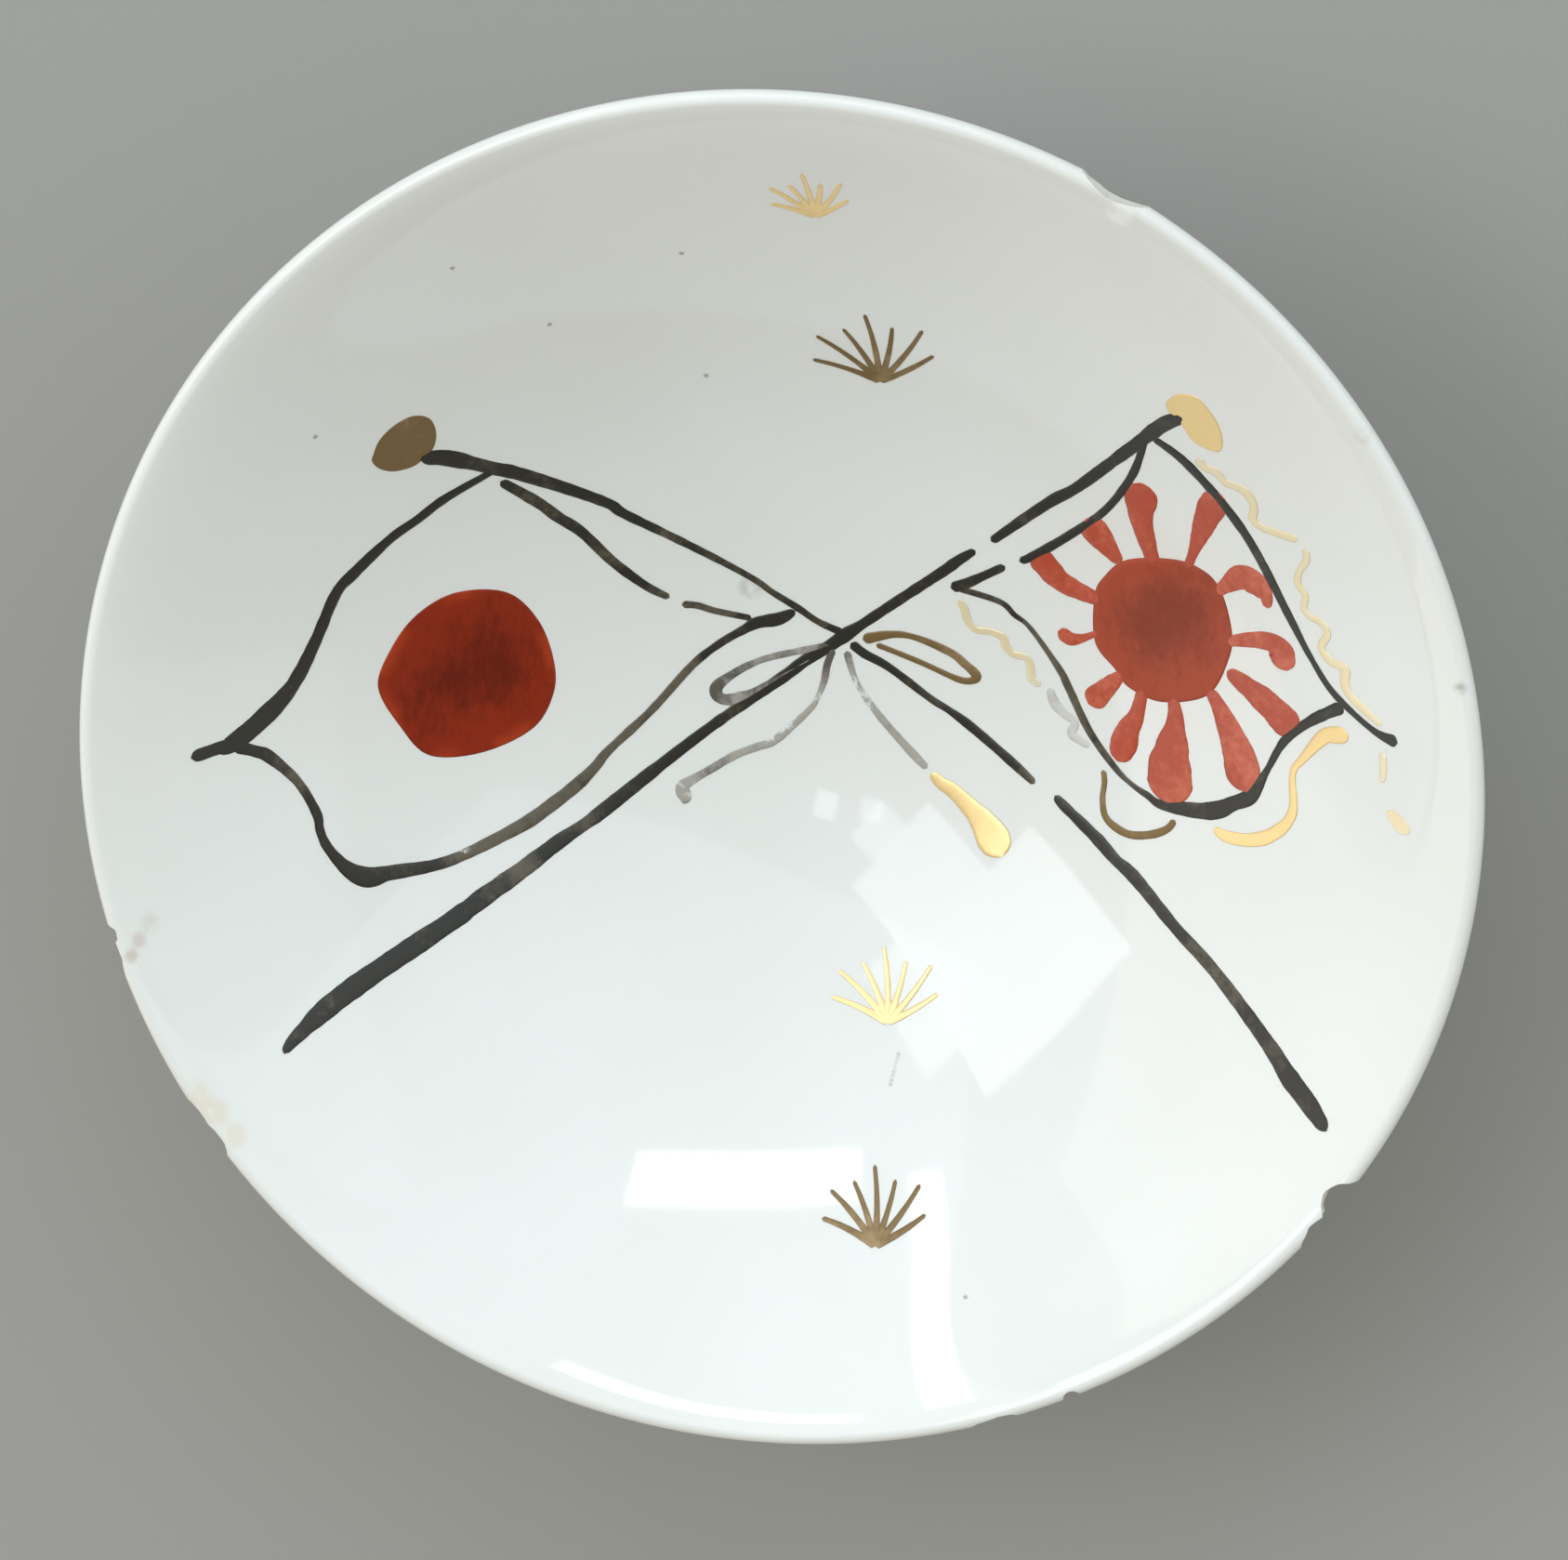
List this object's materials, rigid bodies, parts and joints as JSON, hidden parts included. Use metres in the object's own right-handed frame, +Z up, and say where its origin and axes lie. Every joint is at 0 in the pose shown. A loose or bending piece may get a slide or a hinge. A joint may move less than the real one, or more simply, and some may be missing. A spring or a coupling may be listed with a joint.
{
  "type": "sake cup",
  "caption": "Shallow white porcelain sake cup on a foot ring, with crossed flags, cords and sprigs in raised overglaze enamels inside the bowl.",
  "frame": {"origin": "centre of the foot ring, on the surface that the cup stands on", "axes": "+Z up along the cup's axis, +Y towards the top of the painted picture, +X to its right"},
  "size_m": [0.09, 0.09, 0.03],
  "materials": {
    "porcelain_body": "matte",
    "clear_glaze": "gloss",
    "black_enamel": "satin",
    "red_enamel": "satin",
    "dark_red_enamel": "satin",
    "gold": "satin",
    "worn_gold": "satin"
  },
  "bodies": {
    "root": {"bowl_body": "porcelain_body", "cord_loop_left": "worn_gold", "cord_loop_right": "worn_gold", "cord_tail_left": "worn_gold", "cord_tail_right": "worn_gold", "cord_tassel": "gold", "foot_ring": "porcelain_body", "foot_well_glaze": "clear_glaze", "fringe_arc_left": "worn_gold", "fringe_arc_right": "gold", "fringe_bead": "gold", "fringe_drip": "gold", "fringe_faded": "gold", "fringe_inner": "gold", "fringe_outer": "gold", "fringe_upper": "gold", "gilt_sprig_bottom": "worn_gold", "gilt_sprig_lower": "gold", "gilt_sprig_top": "gold", "gilt_sprig_upper": "worn_gold", "inside_glaze": "clear_glaze", "left_finial": "worn_gold", "left_pole_lower": "black_enamel", "left_pole_upper": "black_enamel", "outside_glaze": "clear_glaze", "plain_flag_fold_line": "black_enamel", "plain_flag_lower_edge": "black_enamel", "plain_flag_outer_edge": "black_enamel", "plain_flag_sun": "red_enamel", "rayed_flag_fold_line": "black_enamel", "rayed_flag_lower_edge": "black_enamel", "rayed_flag_outer_edge": "black_enamel", "rayed_flag_sun": "dark_red_enamel", "right_finial": "gold", "right_pole": "black_enamel", "sun_ray_01": "red_enamel", "sun_ray_02": "red_enamel", "sun_ray_03": "red_enamel", "sun_ray_04": "red_enamel", "sun_ray_05": "red_enamel", "sun_ray_06": "red_enamel", "sun_ray_07": "red_enamel", "sun_ray_08": "red_enamel", "sun_ray_09": "red_enamel", "sun_ray_10": "red_enamel", "sun_ray_11": "red_enamel", "sun_ray_12": "red_enamel"}
  },
  "joints": []
}
